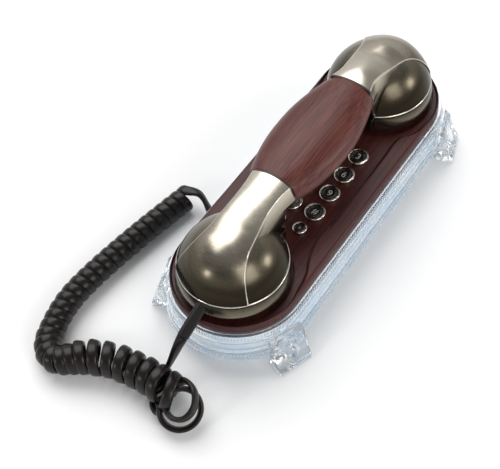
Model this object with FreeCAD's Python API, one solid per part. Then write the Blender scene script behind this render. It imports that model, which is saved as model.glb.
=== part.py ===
"""Slimline wall phone: clear stadium base on four lugs, wood-look faceplate with a
fifteen-key pad, and a handset with a wooden grip between two round metal ends, joined to
the base by a curly cord.

Frame: millimetres, +Z up, origin on the surface under the middle of the base. The long
axis is Y: the mouth end and the cord are at -Y, the ear end is at +Y. The dialling keys
face +Z. Each function builds one sub-part and returns one shape.
"""
import FreeCAD
import Part

import math
import os

V = FreeCAD.Vector

# Base outline: stadiums (two half circles joined by straight sides), centred on the origin
ARC_Y = 63.4            # distance of each end circle's centre from the middle
FACE_R = 32.3           # faceplate outer radius
RING_FOOT_R = 36.3      # clear ring at its lower edge
RING_BODY_R = 35.1
RING_TOP_R = 34.0
RING_BORE_R = 31.6
RING_Z = 8.8            # underside of the clear ring above the surface
RING_FLANGE_Z = 12.6
RING_STEP_Z = 22.0
RING_TOP_Z = 27.6
FLOOR_T = 2.4

# Lugs: four flared feet, each square to a ray from its end circle's centre
LUG_ANGLE = 70.6        # degrees from the long axis
LUG_R = 43.4            # outer lower edge from the end circle's centre
LUG_HALF = 9.2
LUG_HOLE_R = 2.15
LUG_SPOT_R = 3.5
LUG_SPOT_Z = 3.0
LUG_HOLE_AT = 39.4      # hole centre from the end circle's centre

# Faceplate
BALL_Y = 66.0           # handset end centres, and the cups under them
FACE_LOW_Z = 24.6
FACE_TOP_Z = 31.6
FIELD_Z = 30.4          # sunk field around the keys
FIELD_HALF = 23.0
FIELD_END_R = 30.5
CUP_R = 28.8
CUP_Z = 28.4
FACE_POCKET_Z = 26.6
FACE_WALL = 2.0

# Keys
KEY_PITCH_X = 13.1
KEY_PITCH_Y = 13.5
KEY_TOP_ROW_Y = 23.9
SMALL_KEY_Y = -28.4
SMALL_KEY_X = 12.0
KEY_R = 4.0
SMALL_KEY_R = 2.4
KEY_GAP = 0.2
BEZEL_WALL = 0.9
BEZEL_TOP_Z = 32.7
BEZEL_PLATE_Z = 25.2
KEY_TOP_Z = 32.5
KEY_FLANGE = 0.75
KEY_FLANGE_T = 1.2
KEY_DISH = 0.5
KEY_FOOT_Z = 22.6
MEMBRANE_Z = 19.6
BOARD_Z = 18.0
BOARD_T = 1.6
KEY_NAMES = (("key_1", "key_2", "key_3"), ("key_4", "key_5", "key_6"),
             ("key_7", "key_8", "key_9"), ("key_star", "key_0", "key_hash"))
FUNCTION_KEYS = ("key_mute", "key_flash", "key_redial")

# Inner pan and its screws
PAN_R = 31.3
PAN_WALL = 1.6
PAN_LOW_Z = RING_Z + FLOOR_T
PAN_SCREWS = ((-20.0, -58.0), (20.0, -58.0), (-20.0, 58.0), (20.0, 58.0))
BOARD_SCREWS = ((-17.0, -38.5), (17.0, -38.5), (-17.0, 34.4), (17.0, 34.4))

# Hook switch
HOOK_Y = 44.6
HOOK_R = 2.4
HOOK_TRAVEL = 3.0

# Handset
BALL_R = 27.3
BALL_Z = 34.3           # ball centre, also the lower edge of the metal bands
RIM_Z = 42.6            # seam between the bands and the upper shells
BALL_WALL = 2.2
STRAP_R = 28.7          # the strap stands proud of the ball
MOUTH_SEAM_Y = -32.0
EAR_SEAM_Y = 38.0
SEAM_GAP = 0.5
SEAM_INSET = 0.7
WEB_HALF = 11.6
WEB_FACE_Y = 38.8       # inner face of the web under each neck
GRIP_SPLIT_Z = 54.2
GRIP_SCREW_Y = (-22.0, 28.0)
CHANNEL_HALF = 7.5
CHANNEL_Z = (54.2, 63.0)

# Curly cord, flat tape 5.4 wide
CORD_D = 5.4
TIGHT_COIL_R = 6.7
LOOSE_COIL_R = 8.75
JACK_Y = -27.6
JACK_Z = 4.6
PLUG_BACK_X = -40.0
JACK_MOUTH_X = -30.0

BOOT_START = V(0.2, -93.0, 36.9)
BOOT_END = V(-2.4, -104.0, 26.8)
BOOT_R = (2.9, 2.7)
TAIL_ROUTE = (BOOT_END, BOOT_END + (BOOT_END - BOOT_START) * 0.2, V(-4.9, -109.0, 16.8),
              V(-6.3, -112.2, 10.6), V(-7.4, -116.0, 7.0))
LOOSE_ROUTE = (V(15.6, -126.2, LOOSE_COIL_R), V(3.4, -123.4, LOOSE_COIL_R),
               V(-10.0, -122.8, LOOSE_COIL_R), V(-23.4, -123.6, LOOSE_COIL_R),
               V(-35.6, -127.0, LOOSE_COIL_R), V(-45.4, -132.4, LOOSE_COIL_R),
               V(-52.6, -140.4, LOOSE_COIL_R), V(-57.8, -139.7, LOOSE_COIL_R))
TIGHT_ROUTE = (V(-57.8, -139.7, TIGHT_COIL_R), V(-63.0, -139.0, TIGHT_COIL_R),
               V(-68.6, -127.4, TIGHT_COIL_R), V(-71.2, -111.0, TIGHT_COIL_R),
               V(-70.4, -92.6, TIGHT_COIL_R), V(-67.0, -68.4, TIGHT_COIL_R),
               V(-62.6, -44.4, TIGHT_COIL_R), V(-58.8, -26.6, TIGHT_COIL_R))
BASE_TAIL_ROUTE = (V(-58.2, -24.6, 10.6), V(-53.4, -22.8, 11.2), V(-48.8, -24.4, 7.4),
                   V(-45.4, JACK_Y, JACK_Z), V(PLUG_BACK_X, JACK_Y, JACK_Z))


# ---------------------------------------------------------------- helpers

def fuse(shapes):
    shapes = list(shapes)
    return shapes[0].multiFuse(shapes[1:]).removeSplitter() if len(shapes) > 1 else shapes[0]


def stadium_face(radius, z, arc_y=ARC_Y):
    right = Part.LineSegment(V(radius, -arc_y, z), V(radius, arc_y, z)).toShape()
    far = Part.Arc(V(radius, arc_y, z), V(0, arc_y + radius, z), V(-radius, arc_y, z)).toShape()
    left = Part.LineSegment(V(-radius, arc_y, z), V(-radius, -arc_y, z)).toShape()
    near = Part.Arc(V(-radius, -arc_y, z), V(0, -arc_y - radius, z), V(radius, -arc_y, z)).toShape()
    return Part.Face(Part.Wire([right, far, left, near]))


def stadium(radius, z_low, z_high, arc_y=ARC_Y):
    return stadium_face(radius, z_low, arc_y).extrude(V(0, 0, z_high - z_low))


def cylinder(radius, x, y, z_low, z_high):
    return Part.makeCylinder(radius, z_high - z_low, V(x, y, z_low))


def box(x_low, x_high, y_low, y_high, z_low, z_high):
    return Part.makeBox(x_high - x_low, y_high - y_low, z_high - z_low, V(x_low, y_low, z_low))


def rod(start, end, radius, end_radius=None):
    axis = end - start
    if end_radius is None:
        return Part.makeCylinder(radius, axis.Length, start, axis)
    return Part.makeCone(radius, end_radius, axis.Length, start, axis)


def turned(profile, x, y):
    """Solid of revolution about a vertical axis from (radius, z) points."""
    points = [V(r, 0, z) for r, z in profile]
    face = Part.Face(Part.makePolygon(points + points[:1]))
    solid = face.revolve(V(0, 0, 0), V(0, 0, 1), 360)
    solid.translate(V(x, y, 0))
    return solid


def edges_at(shape, z, tolerance=0.01):
    return [e for e in shape.Edges
            if abs(e.BoundBox.ZMin - z) < tolerance and abs(e.BoundBox.ZMax - z) < tolerance]


def filleted_path(route, label):
    """Straight runs joined by tangent arcs, each arc as large as its two runs allow."""
    edges = []
    start = route[0]
    radii = []
    for before, corner, after in zip(route, route[1:], route[2:]):
        back = before - corner
        ahead = after - corner
        turn = math.pi - back.getAngle(ahead)
        setback = 0.45 * min(back.Length, ahead.Length)
        radii.append(setback / math.tan(turn / 2))
        back.normalize()
        ahead.normalize()
        arc_start = corner + back * setback
        arc_end = corner + ahead * setback
        middle = back + ahead
        middle.normalize()
        bulge = radii[-1] * (1 / math.cos(turn / 2) - 1)
        edges.append(Part.LineSegment(start, arc_start).toShape())
        edges.append(Part.Arc(arc_start, corner + middle * bulge, arc_end).toShape())
        start = arc_end
    edges.append(Part.LineSegment(start, route[-1]).toShape())
    print(label, "arc radii, mm:", [round(r, 1) for r in radii])
    return Part.Wire(edges)


def tube_along(route, radius, label):
    path = filleted_path(route, label)
    direction = route[1] - route[0]
    profile = Part.Wire([Part.Circle(route[0], direction, radius).toShape()])
    solid = path.makePipeShell([profile], True, False)
    expected = math.pi * radius ** 2 * path.Length
    print(label, "length, mm:", round(path.Length, 1), "volume ratio:",
          round(solid.Volume / expected, 4))
    return solid


# ---------------------------------------------------------------- clear base

def lug_placement(end_sign, side_sign):
    angle = math.radians(LUG_ANGLE)
    out = V(side_sign * math.sin(angle), end_sign * math.cos(angle), 0)
    return V(0, end_sign * ARC_Y, 0), out


def lug(end_sign, side_sign):
    centre, out = lug_placement(end_sign, side_sign)
    across = V(-out.y, out.x, 0)
    profile = ((32.2, 0.0), (LUG_R, 0.0), (LUG_R, 2.2), (41.6, 5.4), (39.6, 11.0),
               (38.2, 17.0), (34.6, 20.4), (32.2, 20.4))
    points = [centre + out * r + across * LUG_HALF + V(0, 0, z) for r, z in profile]
    body = Part.Face(Part.makePolygon(points + points[:1])).extrude(across * (-2 * LUG_HALF))
    hole_at = centre + out * LUG_HOLE_AT
    return body, cylinder(LUG_HOLE_R, hole_at.x, hole_at.y, -1, 30), \
        cylinder(LUG_SPOT_R, hole_at.x, hole_at.y, LUG_SPOT_Z, 30)


def clear_base_tray():
    body = fuse([stadium(RING_FOOT_R, RING_Z, RING_FLANGE_Z),
                 stadium(RING_BODY_R, RING_FLANGE_Z, RING_STEP_Z),
                 stadium(RING_TOP_R, RING_STEP_Z, RING_TOP_Z)])
    cuts = [stadium(RING_BORE_R, RING_Z + FLOOR_T, RING_TOP_Z + 1)]
    lugs = []
    for end_sign in (-1, 1):
        for side_sign in (-1, 1):
            lug_body, hole, spot = lug(end_sign, side_sign)
            lugs.append(lug_body)
            cuts += [hole, spot]
    body = fuse([body] + lugs)
    cuts += [jack_opening(), line_jack_window()]
    cuts += [cylinder(1.6, x, y, 0, 20) for x, y in PAN_SCREWS]
    return body.cut(fuse(cuts))


def jack_opening():
    """Slot in the tray floor that takes the handset jack's upper half."""
    return box(-29.6, -17.9, JACK_Y - 6.1, JACK_Y + 6.1, RING_Z - 1, RING_Z + FLOOR_T + 1)


# ---------------------------------------------------------------- inside the base

def chassis_pan():
    outer = stadium(PAN_R, PAN_LOW_Z, FACE_LOW_Z)
    inner = stadium(PAN_R - PAN_WALL, PAN_LOW_Z + PAN_WALL, FACE_LOW_Z + 1)
    cuts = [jack_opening().translated(V(0, 0, 2)), line_jack_window()]
    posts = [cylinder(3.2, x, y, PAN_LOW_Z, FACE_POCKET_Z - 0.2) for x, y in PAN_SCREWS]
    board_posts = [cylinder(2.4, x, y, PAN_LOW_Z, BOARD_Z) for x, y in BOARD_SCREWS]
    screw_holes = [cylinder(1.1, x, y, 0, BOARD_Z + 1) for x, y in BOARD_SCREWS]
    screw_holes += [cylinder(1.6, x, y, 0, 40) for x, y in PAN_SCREWS]
    return fuse([outer.cut(inner)] + posts + board_posts).cut(fuse(cuts + screw_holes))


def line_jack_window():
    """Window through the pan and the clear wall in front of the line socket."""
    return box(-5.8, 5.8, 89.0, 104.0, 13.4, 21.6)


def line_jack():
    """Empty wall-line socket in the ear end, its mouth facing out along +Y."""
    body = box(-5.7, 5.7, 80.0, 92.9, 13.5, 21.5)
    return body.cut(box(-4.2, 4.2, 83.0, 100.0, 14.6, 20.4))


def key_board():
    plate = box(-20.0, 20.0, -41.5, 37.4, BOARD_Z, BOARD_Z + BOARD_T)
    holes = [cylinder(1.6, x, y, 0, 30) for x, y in BOARD_SCREWS]
    return plate.cut(fuse(holes))


def board_components():
    """Dialler chip, relay, capacitors and coil on the underside of the board."""
    return Part.makeCompound([box(-9.0, 9.0, 2.0, 10.0, BOARD_Z - 3.0, BOARD_Z),
                              box(-13.0, -3.0, -22.0, -8.0, BOARD_Z - 4.6, BOARD_Z),
                              cylinder(3.0, 9.0, -14.0, BOARD_Z - 4.8, BOARD_Z),
                              cylinder(3.0, 9.0, -22.0, BOARD_Z - 4.8, BOARD_Z),
                              cylinder(4.2, -8.0, 22.0, BOARD_Z - 4.4, BOARD_Z)])


def board_screws():
    screws = []
    for x, y in BOARD_SCREWS:
        head = cylinder(2.6, x, y, BOARD_Z + BOARD_T, BOARD_Z + BOARD_T + 1.3)
        screws.append(fuse([head, cylinder(1.05, x, y, BOARD_Z - 5, BOARD_Z + BOARD_T)]))
    return Part.makeCompound(screws)


def key_places():
    """(name, x, y, key radius) of the twelve dialling keys and three function keys."""
    for row, names in enumerate(KEY_NAMES):
        for column, name in enumerate(names):
            yield name, (column - 1) * KEY_PITCH_X, KEY_TOP_ROW_Y - row * KEY_PITCH_Y, KEY_R
    for column, name in enumerate(FUNCTION_KEYS):
        yield name, (column - 1) * SMALL_KEY_X, SMALL_KEY_Y, SMALL_KEY_R


def key_membrane():
    sheet = box(-19.0, 19.0, -34.0, 30.8, MEMBRANE_Z, MEMBRANE_Z + 0.8)
    domes = [turned(((0, MEMBRANE_Z), (r, MEMBRANE_Z), (r * 0.75, 21.3), (0, 21.3)), x, y)
             for _, x, y, r in key_places()]
    return fuse([sheet] + domes)


def key_cap(x, y, radius):
    """Key with a dished top, a flange under the bezel plate and a foot on its dome."""
    flange_r = radius + KEY_FLANGE
    flange_z = BEZEL_PLATE_Z - KEY_FLANGE_T
    return turned(((0, KEY_FOOT_Z), (radius * 0.6, KEY_FOOT_Z), (radius * 0.6, flange_z),
                   (flange_r, flange_z), (flange_r, BEZEL_PLATE_Z), (radius, BEZEL_PLATE_Z),
                   (radius, KEY_TOP_Z - 0.5), (radius - 0.6, KEY_TOP_Z),
                   (radius * 0.6, KEY_TOP_Z - KEY_DISH * 0.8), (0, KEY_TOP_Z - KEY_DISH)), x, y)


def bezel_frame():
    """Bright rings round every key, joined by a plate behind the faceplate."""
    plate = box(-20.0, 20.0, -35.0, 31.5, BEZEL_PLATE_Z, FACE_POCKET_Z)
    rings = []
    holes = []
    for _, x, y, radius in key_places():
        bore = radius + KEY_GAP
        outer = bore + BEZEL_WALL
        rings.append(turned(((bore - 0.1, BEZEL_PLATE_Z), (outer, BEZEL_PLATE_Z),
                             (outer, BEZEL_TOP_Z - 0.7), (outer - 0.45, BEZEL_TOP_Z),
                             (bore - 0.1, BEZEL_TOP_Z)), x, y))
        holes.append(cylinder(bore, x, y, 20, 40))
    return fuse([plate] + rings).cut(fuse(holes))


def ringer():
    body = cylinder(11.0, 0, -68.0, PAN_LOW_Z + PAN_WALL, 19.0)
    return body.cut(cylinder(1.2, 0, -68.0, 17.0, 20.0))


def ballast():
    plate = box(-18.0, 18.0, 50.0, 66.0, PAN_LOW_Z + PAN_WALL, PAN_LOW_Z + PAN_WALL + 3.0)
    holes = [cylinder(3.4, x, y, 0, 40) for x, y in PAN_SCREWS if y > 0]
    return plate.cut(fuse(holes))


def light_board():
    """Small board with two lamps that light the clear ring's near end from inside."""
    board = box(-9.0, 9.0, -84.8, -83.2, PAN_LOW_Z + PAN_WALL, 20.0)
    lamps = [box(x - 1.75, x + 1.75, -86.4, -84.8, 15.0, 18.0) for x in (-5.0, 5.0)]
    return fuse([board] + lamps)


def light_strip(side_sign):
    """Narrow lamp strip along the inside of the clear ring's straight wall."""
    x = side_sign * (PAN_R - PAN_WALL)
    return box(*sorted((x, x - side_sign * 1.2)), -42.0, 42.0, 17.0, 22.0)


def hook_plunger():
    stem = cylinder(HOOK_R, 0, HOOK_Y, 19.0, CUP_Z)
    collar = cylinder(HOOK_R + 1.2, 0, HOOK_Y, 20.6, FACE_POCKET_Z - HOOK_TRAVEL - 0.2)
    return fuse([stem, collar])


def hook_bracket():
    """Cage on the pan floor that guides the hook plunger's lower end."""
    outer = box(-6.0, 6.0, HOOK_Y - 6.0, HOOK_Y + 4.6, PAN_LOW_Z + PAN_WALL, 18.4)
    tunnel = box(-4.6, 4.6, HOOK_Y - 8.0, HOOK_Y + 6.0, PAN_LOW_Z + PAN_WALL + 1.4, 16.9)
    return outer.cut(tunnel).cut(cylinder(1.4, 0, HOOK_Y, 10, 30))


def hook_switch():
    return box(-4.0, 4.0, HOOK_Y - 5.0, HOOK_Y + 3.6, PAN_LOW_Z + PAN_WALL + 1.5, 16.6)


def pan_screws():
    screws = []
    for x, y in PAN_SCREWS:
        head = cylinder(2.8, x, y, RING_Z - 1.6, RING_Z)
        screws.append(fuse([head, cylinder(1.55, x, y, RING_Z, 22.0)]))
    return Part.makeCompound(screws)


def faceplate():
    body = stadium(FACE_R, FACE_LOW_Z, FACE_TOP_Z)
    body = body.makeFillet(2.1, edges_at(body, FACE_TOP_Z))
    field_ends = [cylinder(FIELD_END_R, 0, sign * BALL_Y, FIELD_Z, 40) for sign in (-1, 1)]
    field = fuse([box(-FIELD_HALF, FIELD_HALF, -48.0, 48.0, FIELD_Z, 40)] + field_ends)
    cups = [cylinder(CUP_R, 0, sign * BALL_Y, CUP_Z, 40) for sign in (-1, 1)]
    pocket = stadium(FACE_R - FACE_WALL, FACE_LOW_Z - 1, FACE_POCKET_Z)
    lip = stadium(FACE_R + 1, FACE_LOW_Z - 1, RING_TOP_Z).cut(stadium(RING_BORE_R - 0.1, 0, 40))
    holes = [cylinder(r + KEY_GAP + BEZEL_WALL + 0.05, x, y, 20, 40) for _, x, y, r in key_places()]
    holes.append(cylinder(HOOK_R + 0.3, 0, HOOK_Y, 20, 40))
    bosses = [cylinder(1.1, x, y, 20, FACE_POCKET_Z + 1.0) for x, y in PAN_SCREWS]
    return body.cut(fuse([field] + cups)).cut(fuse([pocket, lip])).cut(fuse(holes + bosses))


# ---------------------------------------------------------------- handset

def neck_section(y, crown_z, ridge_x, ridge_z, side_x, side_z, low_x, low_z):
    """Rounded keystone section across a neck, in the plane at y."""
    top = Part.Arc(V(-ridge_x, y, ridge_z), V(0, y, crown_z), V(ridge_x, y, ridge_z)).toShape()
    right = Part.Arc(V(ridge_x, y, ridge_z), V(side_x, y, (ridge_z + side_z) / 2 + 0.6),
                     V(side_x + 0.4, y, side_z)).toShape()
    right_low = Part.Arc(V(side_x + 0.4, y, side_z),
                         V((side_x + low_x) / 2 + 1.2, y, (side_z + low_z) / 2 - 0.6),
                         V(low_x, y, low_z)).toShape()
    under = Part.LineSegment(V(low_x, y, low_z), V(-low_x, y, low_z)).toShape()
    left_low = Part.Arc(V(-low_x, y, low_z),
                        V(-(side_x + low_x) / 2 - 1.2, y, (side_z + low_z) / 2 - 0.6),
                        V(-side_x - 0.4, y, side_z)).toShape()
    left = Part.Arc(V(-side_x - 0.4, y, side_z), V(-side_x, y, (ridge_z + side_z) / 2 + 0.6),
                    V(-ridge_x, y, ridge_z)).toShape()
    return Part.Wire([top, right, right_low, under, left_low, left])


# Neck sections by distance from the ball's centre towards the grip:
# distance, crown z, ridge x, ridge z, side x, side z, low x, low z
NECK = ((34.0, 67.9, 10.2, 65.0, 12.4, 58.6, 8.8, 50.6),
        (28.0, 67.6, 9.4, 65.1, 11.4, 58.4, 8.6, 50.4),
        (20.0, 66.9, 9.4, 64.4, 10.9, 57.4, 8.6, 49.0),
        (10.0, 65.2, 10.4, 62.2, 11.6, 55.0, 9.0, 46.0),
        (-2.0, 62.1, 10.9, 58.9, 11.8, 51.0, 9.0, 44.0))
EAR_SECTION = (28.0, 67.0, 10.8, 64.7, 12.6, 58.6, 8.8, 50.6)


def neck(end_sign, seam_y):
    """Arm from the grip's seam to the crown of the ball."""
    seam_distance = BALL_Y - abs(seam_y)
    first = NECK[0] if end_sign < 0 else EAR_SECTION
    rows = [first] + [row for row in NECK[1:] if row[0] < seam_distance - 1]
    sections = [neck_section(end_sign * (BALL_Y - row[0]), *row[1:]) for row in rows]
    return Part.makeLoft(sections, True, False)


# Half width of the strap over the ball, by distance beyond the ball's centre
STRAP_EDGE = ((-9.0, 10.0), (-2.0, 11.2), (6.0, 13.3), (10.6, 15.3), (14.5, 17.9), (17.0, 20.2),
              (20.0, 27.0))


def strap(end_sign):
    """Proud tongue that runs over the ball to its outer rim."""
    right = [V(x, end_sign * (BALL_Y + d), RIM_Z) for d, x in STRAP_EDGE]
    left = [V(-p.x, p.y, p.z) for p in reversed(right)]
    right_edge = Part.BSplineCurve()
    right_edge.interpolate(right)
    left_edge = Part.BSplineCurve()
    left_edge.interpolate(left)
    out_y = end_sign * (BALL_Y + 30)
    outline = Part.Wire([right_edge.toShape(),
                         Part.makePolygon([right[-1], V(right[-1].x, out_y, RIM_Z),
                                           V(left[0].x, out_y, RIM_Z), left[0]]),
                         left_edge.toShape(),
                         Part.LineSegment(left[-1], right[0]).toShape()])
    prism = Part.Face(outline).extrude(V(0, 0, 40))
    proud = Part.makeSphere(STRAP_R, V(0, end_sign * BALL_Y, BALL_Z))
    trim = turned(((0, RIM_Z), (26.0, RIM_Z), (BALL_R + 0.3, RIM_Z + 6.0), (BALL_R + 3, RIM_Z + 10),
                   (BALL_R + 3, 80), (0, 80)), 0, end_sign * BALL_Y)
    return prism.common(proud).common(trim)


def end_blank(end_sign, seam_y):
    """Whole outside of one metal end, from the band's lower edge to the grip's seam."""
    y = end_sign * BALL_Y
    ball = Part.makeSphere(BALL_R, V(0, y, BALL_Z))
    web = box(-WEB_HALF, WEB_HALF, *sorted((end_sign * WEB_FACE_Y, y)), BALL_Z, 56.0)
    low = box(-40, 40, -120, 120, 0, BALL_Z)
    return fuse([ball.cut(low), web, neck(end_sign, seam_y), strap(end_sign)])


def end_hollow(end_sign):
    y = end_sign * BALL_Y
    sphere = Part.makeSphere(BALL_R - BALL_WALL, V(0, y, BALL_Z))
    passage = box(-CHANNEL_HALF, CHANNEL_HALF, *sorted((0, end_sign * 52.0)), *CHANNEL_Z)
    drop = box(-CHANNEL_HALF, CHANNEL_HALF, *sorted((end_sign * 42.0, y)), BALL_Z - 1, 56.0)
    return fuse([sphere, passage, drop])


def end_shell(end_sign, seam_y):
    above = box(-60, 60, -120, 120, RIM_Z, 90)
    shell = end_blank(end_sign, seam_y).common(above).cut(end_hollow(end_sign))
    return shell.cut(boot_bore()) if end_sign < 0 else shell


def end_band(end_sign, seam_y):
    """Metal band round the foot of the ball, under the shell's rim."""
    below = box(-60, 60, -120, 120, BALL_Z, RIM_Z)
    band = end_blank(end_sign, seam_y).common(below).cut(end_hollow(end_sign))
    return band.cut(boot_bore()) if end_sign < 0 else band


def boot_bore():
    """Slanted hole for the strain relief through the mouth end's shell, band and cap."""
    axis = BOOT_END - BOOT_START
    axis.normalize()
    return rod(BOOT_START - axis * 10, BOOT_START + axis * 12, BOOT_R[0] + 0.05)


def end_cap(end_sign, holes):
    """Dark cap that closes the ball from below and stands in the cup."""
    y = end_sign * BALL_Y
    body = turned(((0, 30.6), (19.6, 30.6), (20.4, CUP_Z), (23.2, CUP_Z), (24.8, 30.2),
                   (26.9, BALL_Z), (0, BALL_Z)), 0, y)
    ring = [cylinder(0.9, r * math.cos(t), y + r * math.sin(t), 20, 40)
            for r, count in holes for t in [2 * math.pi * k / count for k in range(count)]]
    if end_sign < 0:
        ring.append(boot_bore())
    return body.cut(fuse(ring))


def receiver():
    return turned(((0, BALL_Z), (16.0, BALL_Z), (16.0, 38.0), (10.0, 41.0), (0, 41.0)), 0, BALL_Y)


def microphone():
    return cylinder(5.0, 0, -BALL_Y, BALL_Z, 39.0)


GRIP_STATIONS = ((MOUTH_SEAM_Y, 13.0, 59.2, 8.7), (-18.0, 16.9, 58.9, 9.5), (3.0, 19.0, 58.6, 10.0),
                 (22.0, 17.0, 58.7, 9.5), (EAR_SEAM_Y, 13.0, 58.8, 8.2))


def grip_section(y, half_width, middle_z, half_height):
    """Closed superellipse section of the wooden grip."""
    power = 2.0 / 2.5
    points = []
    for step in range(24):
        angle = 2 * math.pi * step / 24
        c, s = math.cos(angle), math.sin(angle)
        x = half_width * math.copysign(abs(c) ** power, c)
        z = middle_z + half_height * math.copysign(abs(s) ** power, s)
        points.append(V(x, y, z))
    curve = Part.BSplineCurve()
    curve.interpolate(points, PeriodicFlag=True)
    return Part.Wire([curve.toShape()])


def grip_blank():
    sections = [grip_section(*station) for station in GRIP_STATIONS]
    whole = Part.makeLoft(sections, True, False)
    inside = box(-40, 40, MOUTH_SEAM_Y + SEAM_GAP, EAR_SEAM_Y - SEAM_GAP, 0, 90)
    return whole.common(inside)


def grip_channel():
    return box(-CHANNEL_HALF, CHANNEL_HALF, -60, 60, *CHANNEL_Z)


def grip_upper():
    return grip_blank().common(box(-40, 40, -60, 60, GRIP_SPLIT_Z, 90)).cut(grip_channel())


def grip_lower():
    lower = grip_blank().common(box(-40, 40, -60, 60, 0, GRIP_SPLIT_Z))
    holes = [cylinder(1.3, 0, y, 40, 60) for y in GRIP_SCREW_Y]
    heads = [cylinder(2.9, 0, y, 40, 50.8) for y in GRIP_SCREW_Y]
    return lower.cut(fuse(holes + heads))


def grip_screws():
    screws = []
    for y in GRIP_SCREW_Y:
        head = cylinder(2.6, 0, y, 49.6, 50.8)
        screws.append(fuse([head, cylinder(1.25, 0, y, 50.8, 56.0)]))
    return Part.makeCompound(screws)


def handset_weight():
    return box(-6.0, 6.0, -16.0, 22.0, CHANNEL_Z[0] + 0.2, CHANNEL_Z[0] + 6.2)


def seam_ring(seam_y, direction, section):
    """Dark spacer in the seam between the grip and a metal end."""
    crown, ridge_x, ridge_z, side_x, side_z, low_x, low_z = section[1:]
    wire = neck_section(seam_y, crown - SEAM_INSET, ridge_x - SEAM_INSET, ridge_z - SEAM_INSET,
                        side_x - SEAM_INSET, side_z, low_x - SEAM_INSET, low_z + SEAM_INSET)
    disc = Part.Face(wire).extrude(V(0, direction * SEAM_GAP, 0))
    return disc.cut(grip_channel())


def strain_relief():
    """Tapered boot with a collar inside the metal end that holds it in."""
    axis = BOOT_END - BOOT_START
    axis.normalize()
    collar = rod(BOOT_START - axis * 11.2, BOOT_START - axis * 9.6, BOOT_R[0] + 0.5)
    barrel = rod(BOOT_START - axis * 9.6, BOOT_START + axis, BOOT_R[0])
    taper = rod(BOOT_START + axis, BOOT_END, *BOOT_R)
    return fuse([collar, barrel, taper])


# ---------------------------------------------------------------- cord and its plug

def handset_jack():
    """Socket under the base's left side, its mouth facing out along -X."""
    body = box(JACK_MOUTH_X, -17.4, JACK_Y - 6.0, JACK_Y + 6.0, 0.9, RING_Z)
    contacts = box(-29.4, -18.1, JACK_Y - 5.9, JACK_Y + 5.9, RING_Z, 12.0)
    socket = box(JACK_MOUTH_X - 1, -19.0, JACK_Y - 3.9, JACK_Y + 3.9, 1.6, 7.6)
    return fuse([body, contacts]).cut(socket)


def cord_plug():
    return box(PLUG_BACK_X, -20.0, JACK_Y - 3.8, JACK_Y + 3.8, 1.7, 7.5)


SUB_PARTS = {
    "clear_base_tray": clear_base_tray,
    "chassis_pan": chassis_pan,
    "faceplate": faceplate,
    "bezel_frame": bezel_frame,
    "key_membrane": key_membrane,
    "key_board": key_board,
    "board_components": board_components,
    "board_screws": board_screws,
    "pan_screws": pan_screws,
    "ringer": ringer,
    "ballast_plate": ballast,
    "light_board": light_board,
    "light_strip_left": lambda: light_strip(-1),
    "light_strip_right": lambda: light_strip(1),
    "hook_plunger": hook_plunger,
    "hook_bracket": hook_bracket,
    "hook_switch": hook_switch,
    "line_jack": line_jack,
    "handset_jack": handset_jack,
    "mouth_shell": lambda: end_shell(-1, MOUTH_SEAM_Y),
    "ear_shell": lambda: end_shell(1, EAR_SEAM_Y),
    "mouth_band": lambda: end_band(-1, MOUTH_SEAM_Y),
    "ear_band": lambda: end_band(1, EAR_SEAM_Y),
    "mouth_cap": lambda: end_cap(-1, ((0.0, 1), (4.0, 6))),
    "ear_cap": lambda: end_cap(1, ((0.0, 1), (4.0, 6), (8.0, 12))),
    "receiver": receiver,
    "microphone": microphone,
    "grip_upper": grip_upper,
    "grip_lower": grip_lower,
    "grip_screws": grip_screws,
    "handset_weight": handset_weight,
    "seam_ring_mouth": lambda: seam_ring(MOUTH_SEAM_Y, 1, NECK[0]),
    "seam_ring_ear": lambda: seam_ring(EAR_SEAM_Y, -1, EAR_SECTION),
    "strain_relief": strain_relief,
    "cord_tail_handset": lambda: tube_along(TAIL_ROUTE, CORD_D / 2, "handset tail"),
    "cord_coil_loose": lambda: tube_along(LOOSE_ROUTE, LOOSE_COIL_R, "loose coil"),
    "cord_coil_tight": lambda: tube_along(TIGHT_ROUTE, TIGHT_COIL_R, "tight coil"),
    "cord_tail_base": lambda: tube_along(BASE_TAIL_ROUTE, CORD_D / 2, "base tail"),
    "cord_plug": cord_plug,
}


def main():
    os.makedirs("parts", exist_ok=True)
    for name, build in SUB_PARTS.items():
        shape = build()
        shape.exportStep("parts/" + name + ".step")
        print(name, "solids", len(shape.Solids), "valid", shape.isValid(),
              "volume", round(shape.Volume))
    for name, x, y, radius in key_places():
        key_cap(x, y, radius).exportStep("parts/" + name + ".step")


main()
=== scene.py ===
"""Looks of the slimline corded phone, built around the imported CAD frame.

Shapes are worked out in millimetres in the frame's own axes (+Z up, +Y towards the ear end)
and turned into metres when a mesh is made.
"""

import math

import bmesh
import bpy
from mathutils import Matrix, Vector


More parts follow.
